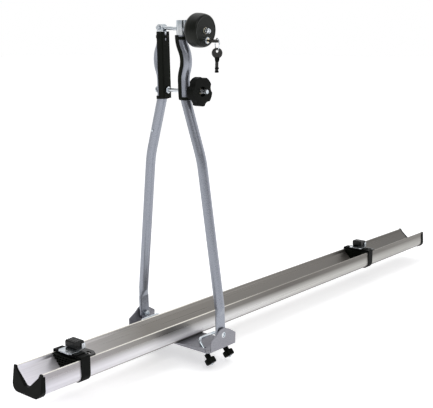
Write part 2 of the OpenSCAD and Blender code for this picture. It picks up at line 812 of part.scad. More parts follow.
// Domed drum of the lock knob: its back swells from the neck to the rim, which draws in again to the face
module lock_knob() {
    r = lock_knob_d / 2;
    neck = lock_neck_d / 2;
    dome_l = lock_knob_l - lock_rim_l - lock_neck_l;
    face = lock_knob_l;
    p = 1.5;
    steps = 12;
    color(black) on_swing_bolt() difference() {
        translate([0, 0, lock_t0]) rotate_extrude() polygon(concat(
            [[0, 0], [neck, 0]],
            [for (i = [0 : steps]) let (t = i / steps)
                [neck + (r - neck) * pow(1 - pow(1 - t, p), 1 / p), lock_neck_l + dome_l * t]],
            [[r, face - 14], [r - 0.6, face - 8], [r - 1.4, face - 4], [r - 2.4, face - 1.6], [r - 3.6, face - 0.4],
                [r - 5, face], [r - 7, face - 0.6], [0, face - 0.6]]));
        cylinder(h = 2 * lock_t1, d = insert_d);
        translate([0, -lock_drop, lock_t1 - lock_hold]) cylinder(h = lock_hold + over, d = lock_d);
    }
}

insert_d = 12;
lock_hold = 22;

module lock_knob_insert() {
    color(brass) on_swing_bolt() translate([0, 0, lock_t0 + 0.4]) difference() {
        cylinder(h = lock_knob_l - 1, d = insert_d);
        translate([0, 0, -over]) cylinder(h = lock_knob_l + 2 * over, d = swing_d + 2 * run);
    }
}

module dome_nut() {
    af = 12.5;
    face = lock_t1 - 0.6;
    color(zinc) on_swing_bolt() difference() {
        union() {
            translate([0, 0, face]) cylinder(h = 4.5, d = af, $fn = 6);
            translate([0, 0, face + 4.4]) cylinder(h = 2, d = af - 2);
            translate([0, 0, face + 6.3]) intersection() {
                sphere(d = af - 2);
                cylinder(h = af, d = af);
            }
        }
        translate([0, 0, face - over]) cylinder(h = 6.5, d = swing_d + 2 * run);
    }
}

module at_lock() {
    on_swing_bolt() translate([0, -lock_drop, lock_t1]) children();
}

module lock_cylinder() {
    color(zinc) at_lock() difference() {
        translate([0, 0, -lock_hold]) {
            cylinder(h = lock_hold + lock_out - 1, d = lock_d);
            cylinder(h = lock_hold + lock_out, d = lock_d - 1.6);
        }
        translate([0, 0, -lock_hold + 3]) cylinder(h = lock_hold + lock_out, d = plug_d + 2 * run);
    }
}

// Keyway through the plug, one blade wide
module lock_plug() {
    color(brass) at_lock() difference() {
        translate([0, 0, -lock_hold + 3.3]) cylinder(h = lock_hold + lock_out - 3.3, d = plug_d);
        translate([-key_blade_w / 2 - 0.1, -blade_t / 2 - 0.1, lock_out - key_blade_l + 4])
            cube([key_blade_w + 0.2, blade_t + 0.2, lock_hold * 2]);
    }
}

blade_t = 2;

key_hole = 6.4;
key_rim = 3;
key_head_z = key_neck_l + key_head_d / 2 - 1;
key_hole_z = key_head_z + key_head_d / 2 - key_hole / 2 - key_rim;

// A key standing on its blade: the origin is where the neck starts and the head lies in the X-Z plane
module key() {
    neck = 7.2;
    difference() {
        union() {
            translate([0, key_head_t / 2, key_head_z]) rotate([90, 0, 0]) cylinder(h = key_head_t, d = key_head_d);
            translate([-neck / 2, -key_head_t / 2 + 0.8, 0.6]) cube([neck, key_head_t - 1.6, key_neck_l + 2]);
            translate([-key_blade_w / 2, -blade_t / 2, -key_blade_l + 5])
                cube([key_blade_w, blade_t, key_blade_l - 4]);
        }
        translate([0, key_head_t, key_hole_z]) rotate([90, 0, 0]) cylinder(h = 2 * key_head_t, d = key_hole);
        for (i = [0 : 3]) translate([key_blade_w / 2, -blade_t, -key_blade_l + 8 + 4 * i]) rotate([0, 45, 0])
            cube([1.6, 2 * blade_t, 1.6]);
    }
}

module lock_key() color(black) at_lock() translate([0, 0, lock_out]) key();

// The ring leans in the key's hole and turns round the hole's edge, away from the lock
ring_lean = 28;
ring_turn = -120;

// Puts what is drawn about the ring's middle, with the ring in the X-Z plane, into place
module at_ring() {
    at_lock() translate([0, 0, lock_out + key_hole_z]) rotate([-90, 0, 0]) rotate([0, 0, ring_turn])
        translate([ring_d / 2 * cos(ring_lean), 0, -ring_d / 2 * sin(ring_lean)]) children();
}

module key_ring() {
    color(zinc) at_ring() rotate([90, 0, 0]) rotate_extrude() translate([ring_d / 2, 0])
        circle(d = ring_wire, $fn = 16);
}

module spare_key() {
    drop = key_hole / 2 - ring_wire / 2 - 0.5;
    color(black) at_ring() translate([0, 0, -ring_d / 2 - drop]) rotate([0, 0, 90])
        translate([0, 0, -key_hole_z]) key();
}

clamp_play = 1.3;
clamp_t0 = tube_d / 2 + clamp_play + washer_t + seat;
clamp_t1 = clamp_t0 + knob_neck_l + knob_h;

module clamp_bolt() {
    color(zinc) in_frame() translate([0, 0, clamp_z]) {
        rod_y(-clamp_y - clamp_t1 - clamp_out, clamp_y + tube_d / 2 + 3, clamp_d);
        rod_y(clamp_y + tube_d / 2 + 0.2, clamp_y + tube_d / 2 + 3.5, clamp_d * 1.8);
    }
}

module clamp_bolt_nut() {
    h = 6.5;
    y = clamp_y - tube_d / 2 - 0.8;
    color(zinc) in_frame() translate([0, 0, clamp_z]) difference() {
        translate([0, y - h, 0]) rotate([-90, 30, 0]) cylinder(h = h, d = clamp_d * 1.8, $fn = 6);
        rod_y(y - 2 * h, y + over, clamp_d + 2 * run);
    }
}

module clamp_washer() {
    color(zinc) outwards(clamp_y, clamp_z) washer(tube_d / 2 + clamp_play, washer_t, clamp_d + 5, clamp_d + 2 * run);
}

// Lobed outline of the knob's head: a round head with a hollow cut between each two lobes
module knob_plan() {
    r = knob_d / 2;
    step = 360 / knob_lobes;
    difference() {
        circle(r = r);
        for (i = [0 : knob_lobes - 1]) rotate(45 + (i + 0.5) * step) translate([r * 1.3, 0])
            circle(r = r * 0.45);
    }
}

// Lobed hand knob on a neck
module hand_knob() {
    z0 = clamp_t0 + knob_neck_l;
    flare = 6;
    color(black) outwards(clamp_y, clamp_z) difference() {
        union() {
            translate([0, 0, clamp_t0]) cylinder(h = knob_neck_l + 1, d = knob_neck_d);
            translate([0, 0, z0 - flare]) cylinder(h = flare + 0.5, d1 = knob_neck_d - 1, d2 = 0.7 * knob_d);
            translate([0, 0, z0]) linear_extrude(knob_h) knob_plan();
        }
        translate([0, 0, z0 + knob_h - 5]) cylinder(h = 6, d = knob_neck_d);
        translate([0, 0, clamp_t0 - over]) cylinder(h = clamp_t1, d = insert_d + 2);
    }
}

module hand_knob_insert() {
    color(brass) outwards(clamp_y, clamp_z) translate([0, 0, clamp_t0 + 0.4]) difference() {
        cylinder(h = knob_neck_l + knob_h - 5.4, d = insert_d + 2);
        translate([0, 0, -over]) cylinder(h = clamp_t1, d = clamp_d + 2 * run);
    }
}

rivet_z = bend_z + 54;
rivet_d = 3;

// Puts what is drawn along Z at the rivet, with its origin on the tube's left side
module at_rivet() {
    y = bend_y + (jaw_y - bend_y) * (rivet_z - bend_z) / (jaw_z - bend_z);
    in_frame() translate([-tube_d / 2, y, rivet_z]) rotate([0, -90, 0]) children();
}

module tube_rivet() {
    color(zinc) at_rivet() {
        translate([0, 0, -tube_wall - 0.5]) cylinder(h = tube_wall + 1, d = rivet_d);
        translate([0, 0, 0.2]) cylinder(h = 1.4, d = rivet_d + 2.5);
    }
}

// Wheel straps: each set is drawn about the middle of its strap. From the lips upwards lie the buckle's
// base, the strap with its free end doubled back over it, the steel plate and the lever.
base_z = lip_z + seat;
strap_z = base_z + buckle_t + 0.2;
steel_z = strap_z + 2 * strap_t + 0.5;
steel_top = steel_z + steel_t;
lever_z = steel_top + seat;
heel_r = 4.2;
lever_pin_x = lever_x + lever_l - heel_r;
lever_pin_z = lever_z + heel_r;
lever_pin_d = 3;

module wheel_cradle() {
    ribs = 6;
    rib_deep = 2.4;
    pitch = (channel_d - 4) / ribs;
    color(rubber) difference() {
        along_rail(-cradle_l / 2, cradle_l / 2) channel_outline(0.4, lip_z - 0.2);
        translate([-rail_l / 2, -rail_w, lip_z - 0.4]) cube([rail_l, 2 * rail_w, rail_h]);
        for (i = [1 : ribs]) translate([-cradle_l / 2 - over, -rail_w / 2, lip_z - i * pitch])
            cube([rib_deep + over, rail_w, pitch / 2]);
    }
}

module strap() {
    half = rail_w / 2 + seat + strap_t;
    color(black) along_rail(-strap_w / 2, strap_w / 2) {
        difference() {
            union() {
                u_outline(seat + strap_t, strap_z);
                translate([-half + strap_t, strap_z - 1]) square([2 * (half - strap_t), strap_t + 1]);
                for (s = [-1, 1]) translate([s * (half - strap_t), strap_z]) circle(r = strap_t);
            }
            u_outline(seat, strap_z);
        }
        translate([-half + 14, strap_z + strap_t - 0.01]) square([rail_w - 22, strap_t]);
    }
}

// Outline of the buckle's base, with a step at its far right corner
module base_outline() {
    half = rail_w / 2 - 1;
    x0 = -strap_w / 2 - 2;
    x1 = x0 + buckle_l;
    polygon([[x0, -half], [x1 - 7, -half], [x1, -half + 12], [x1, -4], [x1 - 10, 10], [x1 - 10, half - 8],
        [x1 - 18, half], [x0 + 6, half], [x0, half - 6]]);
}

module buckle_base() {
    slot = 5;
    rim = 3;
    half = rail_w / 2 - 1;
    color(black) translate([0, 0, base_z]) difference() {
        linear_extrude(buckle_t) base_outline();
        translate([-strap_w / 2 + 1, -half + rim + 2, -over]) linear_extrude(buckle_t + 2 * over)
            polygon([[0, 0], [strap_w - 2, 0], [strap_w - 2, slot + 4], [strap_w - 6, slot + 4], [strap_w - 6, slot],
                [0, slot]]);
        translate([strap_w / 2 + 4, -half + rim + 4, -over]) linear_extrude(buckle_t + 2 * over)
            polygon([[0, 0], [8, 0], [11, 4], [11, 13], [6, 13], [6, slot], [0, slot]]);
        translate([-strap_w / 2 + 1, half - rim - slot - 4, -over]) cube([strap_w - 2, slot, buckle_t + 2 * over]);
    }
}

module buckle_plate() {
    lug_t = 2;
    side = steel_w / 2;
    x1 = steel_x + steel_l;
    color(zinc) difference() {
        union() {
            translate([0, 0, steel_z]) linear_extrude(steel_t) polygon([[steel_x, -side + 5], [steel_x + 4, -side],
                [lever_x, -side], [x1 - 6, lever_y - 3], [x1, lever_y - 3], [x1, side - 4], [x1 - 4, side],
                [steel_x + 5, side], [steel_x, side - 5]]);
            for (y = [lever_y - lug_t - 0.4, lever_y + lever_w + 0.4])
                translate([lever_pin_x - 4, y, steel_top - 0.01]) cube([8, lug_t, lever_pin_z - steel_top + 4]);
        }
        translate([lever_pin_x, -steel_w, lever_pin_z]) rod_y(0, 2 * steel_w, lever_pin_d + 2 * run);
        translate([steel_x + 8, 0, steel_z - over]) cylinder(h = steel_t + 2 * over, d = 4);
    }
}

module buckle_pin() {
    color(zinc) translate([lever_pin_x, lever_y - 3.4, lever_pin_z]) rod_y(0, lever_w + 6.8, lever_pin_d);
}

module buckle_lever() {
    c = 2.5;
    top = lever_z + lever_h;
    x1 = lever_pin_x + heel_r - 1.2;
    color(black) difference() {
        translate([0, lever_y + lever_w, 0]) rotate([90, 0, 0]) linear_extrude(lever_w) union() {
            polygon([[lever_x, lever_z + c], [lever_x + c, lever_z], [lever_pin_x, lever_z],
                [x1, lever_pin_z], [x1, top - c], [x1 - c, top], [lever_x + c, top], [lever_x, top - c]]);
            translate([lever_pin_x, lever_pin_z]) circle(r = heel_r);
        }
        for (i = [0 : 2]) translate([lever_x + 4 + 5 * i, lever_y - over, top - 1])
            cube([2, lever_w + 2 * over, 2]);
        translate([lever_pin_x, lever_y - over, lever_pin_z]) rod_y(0, lever_w + 2 * over, lever_pin_d + 2 * run);
    }
}

module on_left() translate([-strap_left_x, 0, 0]) children();
module on_right() translate([strap_right_x, 0, 0]) children();

wheel_rail();
end_cap_left();
end_cap_right();
base_bracket();
rail_screws();
rail_nuts();
ubolt_near();
ubolt_far();
hand_nut_near_left();
hand_nut_near_right();
hand_nut_far_left();
hand_nut_far_right();
pivot_bolts();
pivot_press_nuts();
pivot_washers();
far_tube();
near_tube();
far_pad();
near_pad();
top_clevis();
clevis_pin();
swing_bolt();
slot_sleeve();
lock_washer();
lock_knob();
lock_knob_insert();
dome_nut();
lock_cylinder();
lock_plug();
lock_key();
key_ring();
spare_key();
clamp_bolt();
clamp_bolt_nut();
clamp_washer();
hand_knob();
hand_knob_insert();
tube_rivet();
on_left() wheel_cradle();  // wheel_cradle_left
on_left() strap();  // strap_left
on_left() buckle_base();  // buckle_base_left
on_left() buckle_plate();  // buckle_plate_left
on_left() buckle_lever();  // buckle_lever_left
on_left() buckle_pin();  // buckle_pin_left
on_right() wheel_cradle();  // wheel_cradle_right
on_right() strap();  // strap_right
on_right() buckle_base();  // buckle_base_right
on_right() buckle_plate();  // buckle_plate_right
on_right() buckle_lever();  // buckle_lever_right
on_right() buckle_pin();  // buckle_pin_right
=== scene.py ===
"""Looks, lights and camera for the roof mounted bike carrier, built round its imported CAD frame."""
import json
import math

import bmesh
import bpy
import numpy as np
from mathutils import Matrix, Vector


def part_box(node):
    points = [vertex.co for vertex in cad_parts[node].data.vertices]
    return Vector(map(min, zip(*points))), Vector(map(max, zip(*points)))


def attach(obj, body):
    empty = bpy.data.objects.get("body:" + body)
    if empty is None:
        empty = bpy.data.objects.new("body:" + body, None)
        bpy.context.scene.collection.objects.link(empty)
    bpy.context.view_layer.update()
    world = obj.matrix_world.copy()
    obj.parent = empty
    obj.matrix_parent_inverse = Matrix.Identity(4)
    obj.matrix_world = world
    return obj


# Camera, read from the photograph's perspective. Here and below, places and sizes are in metres
PHOTO_WIDTH_PX = 433
FOCAL_PX = 838.07
SENSOR_MM = 36.0
CAMERA_AT = (-1.2633, -1.1585, 0.61925)
CAMERA_YAW_DEG = 39.95
CAMERA_PITCH_DEG = -11.0
CAMERA_ROLL_DEG = 0.05
CAMERA_CLIP = (0.05, 200.0)
# An unturned camera looks down and a level one along Y, so pitch and yaw are counted from a quarter turn
QUARTER_DEG = 90.0

# Floor under the part, with colours as (noise value, colour)
FLOOR_SIZE = 60.0
FLOOR_GAP = 0.0005
FLOOR_COLOR = [(0.3, (0.92, 0.92, 0.93)), (0.7, (0.94, 0.94, 0.95))]
# Light that the floor adds for rays from the camera, from gloss and through glass, to read as white
FLOOR_GLOW = 0.45

# Lamps as (name, place, point that it faces, width and height, power in watts, colour)
LAMPS = [
    ("key", (-1.6, -2.2, 2.6), (0.1, 0.0, 0.3), (2.2, 1.6), 30.0, (1.0, 1.0, 1.0)),
    ("fill", (2.4, -2.4, 1.4), (0.3, 0.0, 0.2), (2.0, 2.0), 8.0, (0.95, 0.96, 1.0)),
    ("top", (0.2, 0.6, 3.2), (0.2, 0.0, 0.0), (3.0, 1.5), 20.0, (1.0, 1.0, 1.0)),
]

# Brightness of the room behind the camera and of the white backdrop, and the cosines of the angle from the
# camera's heading between which the first turns into the second
ROOM = 0.30
BACKDROP = 1.0
ROOM_EDGE = (-0.5, 0.6)

# Rail: the heights over which the outer wall goes from its lower band of painted reflection to its upper
# band of painted shade, and over which the painted highlight on the lip along the top of a wall starts, and
# the half widths over which the channel turns into the outer wall
RAIL_BAND_Z = (0.020, 0.036)
RAIL_LIP_Z = (0.0448, 0.0458)
RAIL_SKIN_Y = (0.0360, 0.0366)
# Where along the rail its colours start and end, and those colours as (share of that length, colour); they
# are painted light, whose reflection, shade and highlight change along the rail
RAIL_ENDS_X = (-0.40, 1.05)
# Painted shade on the upper band of the outer wall, changing along the rail
RAIL_UPPER_PAINTED_SHADE = [(0.0, (0.38, 0.36, 0.38)), (0.16, (0.275, 0.264, 0.25)), (0.5, (0.115, 0.106, 0.096)),
              (1.0, (0.17, 0.16, 0.145))]
# Painted reflection on the lower band of the outer wall, dimming along the rail
RAIL_LOWER_PAINTED_REFLECTION = [(0.0, (0.84, 0.82, 0.89)), (0.2, (0.97, 0.96, 0.98)), (0.55, (0.62, 0.61, 0.58)),
              (1.0, (0.46, 0.45, 0.42))]
# Painted reflection and shade in the channel, pale at the rail's left end and dark along the rest
RAIL_CHANNEL_PAINTED_LIGHT = [(0.0, (0.95, 0.93, 1.0)), (0.10, (0.56, 0.54, 0.53)), (0.22, (0.265, 0.25, 0.23)),
                (1.0, (0.115, 0.107, 0.097))]
# Painted highlight along the lip, bright at the rail's left end and fading along it
RAIL_LIP_PAINTED_HIGHLIGHT = [(0.0, (0.95, 0.93, 0.86)), (0.30, (0.85, 0.82, 0.74)), (0.45, (0.32, 0.30, 0.27)),
            (1.0, (0.24, 0.23, 0.21))]
# How metallic the rail is at its lower and at its upper heights, and the dark streaks along it
RAIL_METALLIC = (0.30, 0.80)
RAIL_STREAK = (0.20, 0.19, 0.18)
RAIL_STREAK_SHARE = 0.13

# Values that most of a noise lies between, and the values over which its patches grow
NOISE_SPAN = (0.3, 0.7)
PATCH_SPAN = (0.35, 0.7)
# How far roughness goes below and above its mean in paint and in plastic, and its limits in plated metal
PAINT_ROUGH_STEPS = (-0.06, 0.08)
BLACK_ROUGH_STEPS = (-0.08, 0.10)
METAL_ROUGH = (0.18, 0.32)
# How much of the dark colour the clouds in the paint add at most
PAINT_CLOUD_SHARE = 0.3

# Rounding that materials show on sharp edges
EDGE_RADIUS = 0.0005
EDGE_SAMPLES = 4
# Sockets of a colour Mix node by their place: both colours and the result
MIX_FIRST = 6
MIX_SECOND = 7
MIX_RESULT = 2

# Hand knob: a black ring over the insert's face in the recess, and the thread on the bolt's free end
BOLT_R = 0.004
RING_IN = BOLT_R + 0.0006
RING_OUT = 0.0078
RING_GAP = 0.0002
RING_T = 0.0009
RING_WALL = RING_T * 0.6
RING_CHAMFER = 0.0006
RING_STEPS = 48
THREAD_PITCH = 0.00125
THREAD_DEPTH = 0.00006
THREAD_END = 0.0008
THREAD_SIDES = 24
# Half of a thread crest's foot, as a share of the pitch
CREST_HALF = 0.42

# Spare key: a tapered neck under the head and two shoulders near the blade's tip, each as (how far before
# the tip it starts, length, half width at its start, half width at its end, half thickness)
KEY_LUMPS = [(0.0300, 0.010, 0.0050, 0.0034, 0.0020), (0.0105, 0.004, 0.0040, 0.0040, 0.0014),
             (0.0040, 0.004, 0.0038, 0.0038, 0.0014)]
# A lump's rows, as (share of its length, share of its full section)
LUMP_ROWS = [(0.0, 0.75), (0.2, 1.0), (0.8, 1.0), (1.0, 0.75)]
LUMP_ROUNDING = 0.0006
LUMP_ROUNDING_STEPS = 2

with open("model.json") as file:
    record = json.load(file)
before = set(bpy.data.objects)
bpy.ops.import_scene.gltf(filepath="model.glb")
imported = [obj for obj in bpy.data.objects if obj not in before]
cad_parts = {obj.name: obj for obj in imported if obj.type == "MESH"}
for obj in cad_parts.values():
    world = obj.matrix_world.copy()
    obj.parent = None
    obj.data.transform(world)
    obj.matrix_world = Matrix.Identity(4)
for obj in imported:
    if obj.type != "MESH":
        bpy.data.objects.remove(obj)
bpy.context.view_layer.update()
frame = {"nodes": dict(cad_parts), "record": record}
nodes = frame["nodes"]


def math_node(tree, operation, first, second=None):
    """Result of a maths node on a socket, and on a second socket or a number where there is one."""
    node = tree.nodes.new("ShaderNodeMath")
    node.operation = operation
    tree.links.new(first, node.inputs[0])
    if isinstance(second, float):
        node.inputs[1].default_value = second
    elif second is not None:
        tree.links.new(second, node.inputs[1])
    return node.outputs[0]


def range_node(tree, value, low, high, out_low, out_high):
    """Node that maps a value from one range to another."""
    node = tree.nodes.new("ShaderNodeMapRange")
    limits = {"From Min": low, "From Max": high, "To Min": out_low, "To Max": out_high}
    for key, number in limits.items():
        node.inputs[key].default_value = number
    tree.links.new(value, node.inputs["Value"])
    return node


class Shader:
    """A material with its node tree and a principled shader ready to be linked."""

    def __init__(self, name, color, rough, metallic=0.0, specular=0.5):
        self.mat = bpy.data.materials.new(name)
        self.mat.use_nodes = True
        self.tree = self.mat.node_tree
        self.bsdf = self.tree.nodes["Principled BSDF"]
        self.bsdf.inputs["Base Color"].default_value = (*color, 1.0)
        self.bsdf.inputs["Roughness"].default_value = rough
        self.bsdf.inputs["Metallic"].default_value = metallic
        self.bsdf.inputs["Specular IOR Level"].default_value = specular

    def node(self, kind, **values):
        made = self.tree.nodes.new(kind)
        for key, value in values.items():
            setattr(made, key, value)
        return made

    def link(self, source, target):
        self.tree.links.new(source, target)

    def coords(self, scale=(1.0, 1.0, 1.0)):
        """Object coordinates, stretched by scale."""
        where = self.node("ShaderNodeTexCoord")
        stretch = self.node("ShaderNodeMapping")
        stretch.inputs["Scale"].default_value = scale
        self.link(where.outputs["Object"], stretch.inputs["Vector"])
        return stretch.outputs["Vector"]

    def axis(self, name):
        """One of the object coordinates."""
        split = self.node("ShaderNodeSeparateXYZ")
        self.link(self.coords(), split.inputs[0])
        return split.outputs[name]

    def noise(self, scale, detail=3.0, stretch=(1.0, 1.0, 1.0)):
        noise = self.node("ShaderNodeTexNoise")
        noise.inputs["Scale"].default_value = scale
        noise.inputs["Detail"].default_value = detail
        self.link(self.coords(stretch), noise.inputs["Vector"])
        return noise.outputs["Fac"]

    def map_range(self, value, low, high, out_low=0.0, out_high=1.0):
        return range_node(self.tree, value, low, high, out_low, out_high).outputs["Result"]

    def ramp(self, fac, stops):
        """Colour ramp through (position, colour) stops."""
        ramp = self.node("ShaderNodeValToRGB")
        elements = ramp.color_ramp.elements
        while len(elements) < len(stops):
            elements.new(0.5)
        for element, (position, color) in zip(elements, stops):
            element.position = position
            element.color = (*color, 1.0)
        self.link(fac, ramp.inputs["Fac"])
        return ramp.outputs["Color"]

    def mix(self, fac, first, second):
        """Mix of two colours, each a socket or a plain colour."""
        node = self.node("ShaderNodeMix", data_type="RGBA")
        self.link(fac, node.inputs["Factor"])
        for source, key in ((first, MIX_FIRST), (second, MIX_SECOND)):
            if isinstance(source, tuple):
                node.inputs[key].default_value = (*source, 1.0)
            else:
                self.link(source, node.inputs[key])
        return node.outputs[MIX_RESULT]

    def color(self, output):
        self.link(output, self.bsdf.inputs["Base Color"])

    def rough(self, noise, low, high):
        """Roughness that follows a noise from low to high."""
        self.link(self.map_range(noise, *NOISE_SPAN, low, high), self.bsdf.inputs["Roughness"])

    def soft_edges(self):
        """Rounds the look of sharp edges."""
        bevel = self.node("ShaderNodeBevel")
        bevel.samples = EDGE_SAMPLES
        bevel.inputs["Radius"].default_value = EDGE_RADIUS
        self.link(bevel.outputs["Normal"], self.bsdf.inputs["Normal"])

    def bump(self, height, strength, distance):
        """Bump on top of the normal that is already linked."""
        bump = self.node("ShaderNodeBump")
        bump.inputs["Strength"].default_value = strength
        bump.inputs["Distance"].default_value = distance
        self.link(height, bump.inputs["Height"])
        previous = self.bsdf.inputs["Normal"]
        if previous.is_linked:
            self.link(previous.links[0].from_socket, bump.inputs["Normal"])
        self.link(bump.outputs["Normal"], previous)


def rail_material():
    """Anodised aluminium with painted light in its colour: painted reflection low on the outer wall,
    painted shade high on it, painted reflection and shade in the channel and a painted highlight on the
    lip, all changing along the rail.
    """
    shader = Shader("rail_aluminium", color=(0.55, 0.53, 0.53), rough=0.34, metallic=0.75)
    streaks = shader.noise(scale=420.0, detail=4.0, stretch=(0.004, 1.0, 1.0))
    along = shader.map_range(shader.axis("X"), *RAIL_ENDS_X)
    height = shader.map_range(shader.axis("Z"), *RAIL_BAND_Z)
    outside = shader.map_range(math_node(shader.tree, "ABSOLUTE", shader.axis("Y")), *RAIL_SKIN_Y)
    lip_highlight_share = shader.map_range(shader.axis("Z"), *RAIL_LIP_Z)
    # Outer wall: painted reflection on the lower band and painted shade on the upper one
    wall = shader.mix(height, shader.ramp(along, RAIL_LOWER_PAINTED_REFLECTION), shader.ramp(along, RAIL_UPPER_PAINTED_SHADE))
    # Channel: painted reflection at the rail's left end and painted shade along the rest
    below_lip = shader.mix(outside, shader.ramp(along, RAIL_CHANNEL_PAINTED_LIGHT), wall)
    # Lip: a painted highlight along the top of the walls, fading along the rail
    painted_light_color = shader.mix(lip_highlight_share, below_lip, shader.ramp(along, RAIL_LIP_PAINTED_HIGHLIGHT))
    streak_share = shader.map_range(streaks, *PATCH_SPAN, 0.0, RAIL_STREAK_SHARE)
    shader.color(shader.mix(streak_share, painted_light_color, RAIL_STREAK))
    shader.link(shader.map_range(height, 0.0, 1.0, *RAIL_METALLIC), shader.bsdf.inputs["Metallic"])
    shader.rough(streaks, low=0.26, high=0.38)
    shader.soft_edges()
    shader.bump(streaks, strength=0.12, distance=0.0002)
    return shader.mat


def paint_material(name, dark, light, grain, rough, metallic):
    """Metallic paint with a fine speckle and faint clouds."""
    shader = Shader(name, light, rough, metallic=metallic)
    speckle = shader.noise(scale=grain, detail=2.0)
    clouds = shader.noise(scale=14.0)
    base = shader.ramp(speckle, [(0.35, dark), (0.65, light)])
    shader.color(shader.mix(shader.map_range(clouds, *PATCH_SPAN, 0.0, PAINT_CLOUD_SHARE), base, dark))
    low, high = (rough + step for step in PAINT_ROUGH_STEPS)
    shader.rough(speckle, low, high)
    shader.soft_edges()
    shader.bump(speckle, strength=0.2, distance=0.0002)
    return shader.mat


def zinc_material():
    """Zinc plating with blue, bright and yellowish patches."""
    shader = Shader("zinc", color=(0.7, 0.74, 0.78), rough=0.25, metallic=1.0)
    cloud = shader.noise(scale=60.0)
    patches = [(0.35, (0.48, 0.53, 0.57)), (0.6, (0.70, 0.73, 0.76)), (0.8, (0.60, 0.60, 0.56))]
    shader.color(shader.ramp(cloud, patches))
    shader.rough(cloud, *METAL_ROUGH)
    shader.soft_edges()
    shader.bump(shader.noise(scale=900.0, detail=2.0), strength=0.1, distance=0.0001)
    return shader.mat


def black_material(name, dark, light, rough, grain, depth, specular):
    """Moulded plastic or rubber with a grain of some depth."""
    shader = Shader(name, dark, rough, specular=specular)
    cloud = shader.noise(scale=30.0, detail=4.0)
    grit = shader.noise(scale=grain)
    shader.color(shader.ramp(cloud, [(0.35, dark), (0.7, light)]))
    low, high = (rough + step for step in BLACK_ROUGH_STEPS)
    shader.rough(grit, low, high)
    shader.soft_edges()
    shader.bump(grit, strength=0.35, distance=depth)
    return shader.mat


def webbing_material():
    """Woven strap with diagonal ribs."""
    shader = Shader("strap_webbing", color=(0.004, 0.0045, 0.004), rough=0.6, specular=0.08)
    wave = shader.node("ShaderNodeTexWave", wave_type="BANDS", bands_direction="DIAGONAL")
    wave.inputs["Scale"].default_value = 260.0
    wave.inputs["Distortion"].default_value = 0.6
    shader.link(shader.coords(), wave.inputs["Vector"])
    ribs = wave.outputs["Fac"]
    shader.color(shader.ramp(ribs, [(0.2, (0.002, 0.0025, 0.002)), (0.9, (0.007, 0.0075, 0.007))]))
    shader.bump(ribs, strength=0.5, distance=0.0003)
    return shader.mat


def brass_material():
    shader = Shader("brass", color=(0.8, 0.7, 0.45), rough=0.25, metallic=1.0)
    cloud = shader.noise(scale=120.0)
    shader.color(shader.ramp(cloud, [(0.3, (0.62, 0.52, 0.34)), (0.7, (0.86, 0.78, 0.60))]))
    shader.rough(cloud, *METAL_ROUGH)
    return shader.mat


MATERIALS = {
    "rail_aluminium": rail_material(),
    "frame_paint": paint_material("frame_paint", dark=(0.26, 0.275, 0.315), light=(0.34, 0.36, 0.41),
                                  grain=900.0, rough=0.30, metallic=0.8),
    "bracket_paint": paint_material("bracket_paint", dark=(0.23, 0.23, 0.255), light=(0.34, 0.34, 0.375),
                                    grain=600.0, rough=0.36, metallic=0.5),
    "zinc": zinc_material(),
    "black_plastic": black_material("black_plastic", dark=(0.002, 0.0025, 0.002),
                                    light=(0.005, 0.006, 0.0045), rough=0.42, grain=700.0, depth=0.00006,
                                    specular=0.06),
    "black_rubber": black_material("black_rubber", dark=(0.003, 0.004, 0.0025), light=(0.006, 0.008, 0.005),
                                   rough=0.6, grain=500.0, depth=0.0001, specular=0.10),
    "strap_webbing": webbing_material(),
    "brass": brass_material(),
    "key_plastic": black_material("key_plastic", dark=(0.008, 0.007, 0.006), light=(0.015, 0.014, 0.012),
                                  rough=0.3, grain=600.0, depth=0.0001, specular=0.4),
}
DRUM_PLASTIC = black_material("drum_plastic", dark=(0.003, 0.004, 0.003), light=(0.006, 0.008, 0.005),
                              rough=0.36, grain=900.0, depth=0.00006, specular=0.20)
GLOSS_PLASTIC = black_material("gloss_plastic", dark=(0.002, 0.0025, 0.0025), light=(0.004, 0.005, 0.005),
                               rough=0.22, grain=500.0, depth=0.00004, specular=0.22)


def dress_nodes():
    """Gives each CAD node its slot's material, and the drum knob and the buckles a plastic of their own."""
    for part in frame["record"]["subparts"]:
        materials = nodes[part["node"]].data.materials
        materials.clear()
        materials.append(MATERIALS[part["material_slot"]])
    nodes["lock_knob"].data.materials[0] = DRUM_PLASTIC
    for side in ("left", "right"):
        for kind in ("buckle_base_", "buckle_lever_"):
            nodes[kind + side].data.materials[0] = GLOSS_PLASTIC


def joint_place(name):
    """A joint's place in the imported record."""
    for joint in frame["record"]["behaviour"]["joints"]:
        if joint["name"] == name:
            return joint["pos_m"]
    raise KeyError(name)


def node_body(node):
    """The body that a CAD node rides on."""
    for body, held in frame["record"]["behaviour"]["bodies"].items():
        if node in held:
            return body
    raise KeyError(node)


def add_object(name, data):
    made = bpy.data.objects.new(name, data)
    bpy.context.scene.collection.objects.link(made)
    return made


def add_piece(name, bm, body, slot, smooth=True):
    """A piece of its own from bmesh geometry, riding on a body, with a slot's material."""
    bmesh.ops.recalc_face_normals(bm, faces=bm.faces)
    mesh = bpy.data.meshes.new(name)
    bm.to_mesh(mesh)
    bm.free()
    for polygon in mesh.polygons:
        polygon.use_smooth = smooth
    mesh.materials.append(MATERIALS[slot])
    piece = add_object(name, mesh)
    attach(piece, body)
    return piece


def add_band(bm, near, far):
    """Faces between two closed rows with as many vertices each."""
    for j in range(len(near)):
        k = (j + 1) % len(near)
        bm.faces.new((near[j], near[k], far[k], far[j]))


def add_bar(bm, rows):
    """Faces between neighbouring closed rows, and one over each end."""
    for near, far in zip(rows, rows[1:]):
        add_band(bm, near, far)
    bm.faces.new(rows[0])
    bm.faces.new(rows[-1])


def add_turned_row(bm, turn, section):
    """Vertices of a section of (radius, height) points, turned about Z."""
    return [bm.verts.new((r * math.cos(turn), r * math.sin(turn), z)) for r, z in section]


